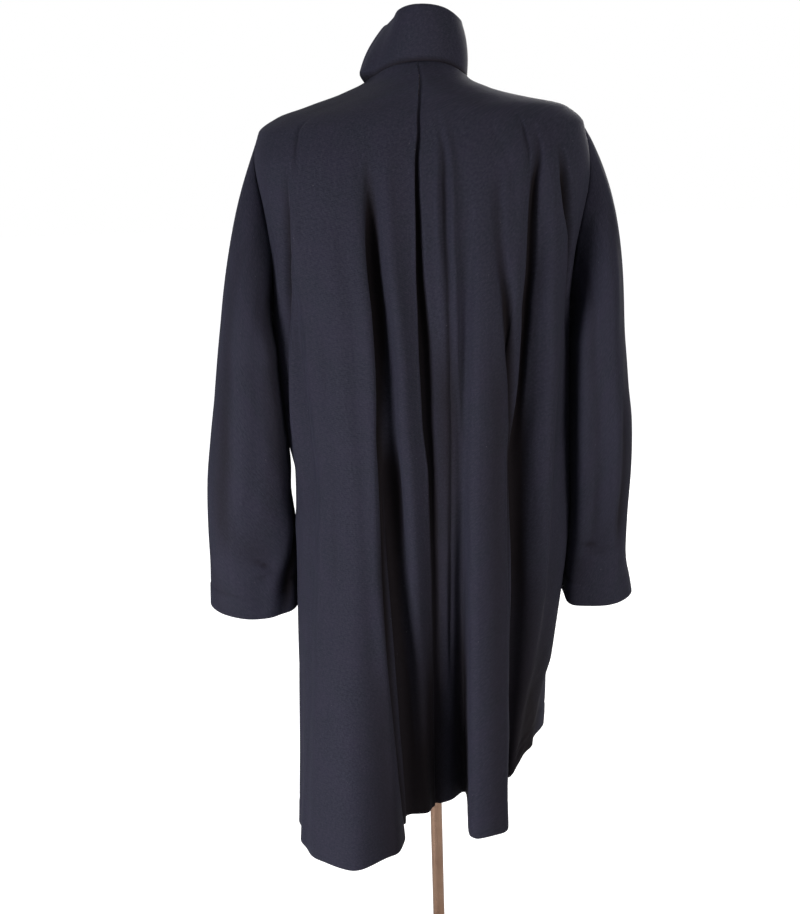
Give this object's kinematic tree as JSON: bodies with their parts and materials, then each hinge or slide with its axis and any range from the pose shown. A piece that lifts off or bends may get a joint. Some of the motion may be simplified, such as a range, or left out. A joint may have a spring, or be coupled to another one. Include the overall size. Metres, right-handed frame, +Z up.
{
  "type": "wool overcoat on a dress form",
  "caption": "Long straight wool overcoat with a stand-up collar and set-in sleeves, on a limbless dress form with a pole and a round base.",
  "frame": {"origin": "middle of the base's underside, on the pole's axis", "axes": "+Z up along the pole; the coat's front faces -Y and the wearer's left is +X"},
  "size_m": [0.6345, 0.4004, 1.5275],
  "materials": {
    "wool": "fine navy wool twill, soft sheen",
    "button": "dark horn-like, low gloss",
    "form": "plain linen cover",
    "pole": "polished, coppery",
    "base": "satin, coppery"
  },
  "bodies": {
    "root": {"back_left": "wool", "back_right": "wool", "front_left": "wool", "front_right": "wool", "sleeve_left": "wool", "sleeve_right": "wool", "collar": "wool", "button_1": "button", "button_2": "button", "button_3": "button", "button_4": "button", "dress_form": "form", "pole": "pole", "base": "base"}
  },
  "joints": []
}
